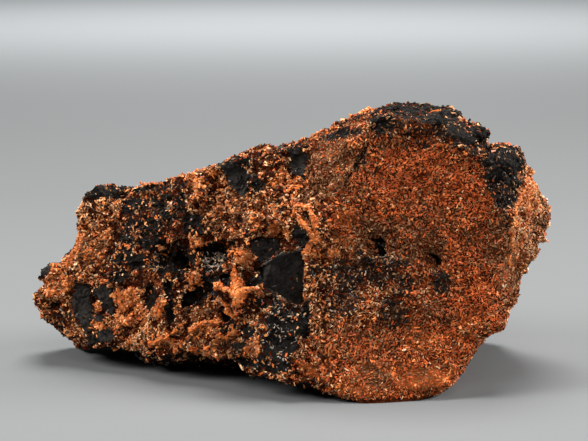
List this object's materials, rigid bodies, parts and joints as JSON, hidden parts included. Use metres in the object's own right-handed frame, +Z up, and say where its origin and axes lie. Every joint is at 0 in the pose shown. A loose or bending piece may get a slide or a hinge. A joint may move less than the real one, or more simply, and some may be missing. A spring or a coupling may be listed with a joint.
{
  "type": "realgar specimen",
  "caption": "Broken lump of granular orange-red realgar grown through black rock, with a broad front face, pits and a tapering tail, lying on a flat foot.",
  "frame": {"origin": "on the resting plane, under the middle of the lump's box", "axes": "+X along the lump's length, from the tail to the thick end; -Y out of the broad granular face; +Z up from the foot"},
  "size_m": [0.1218, 0.0656, 0.063],
  "materials": {
    "realgar": "rough granular orange-red mineral with dull black rock"
  },
  "bodies": {
    "root": {"realgar_lump": "realgar"}
  },
  "joints": []
}
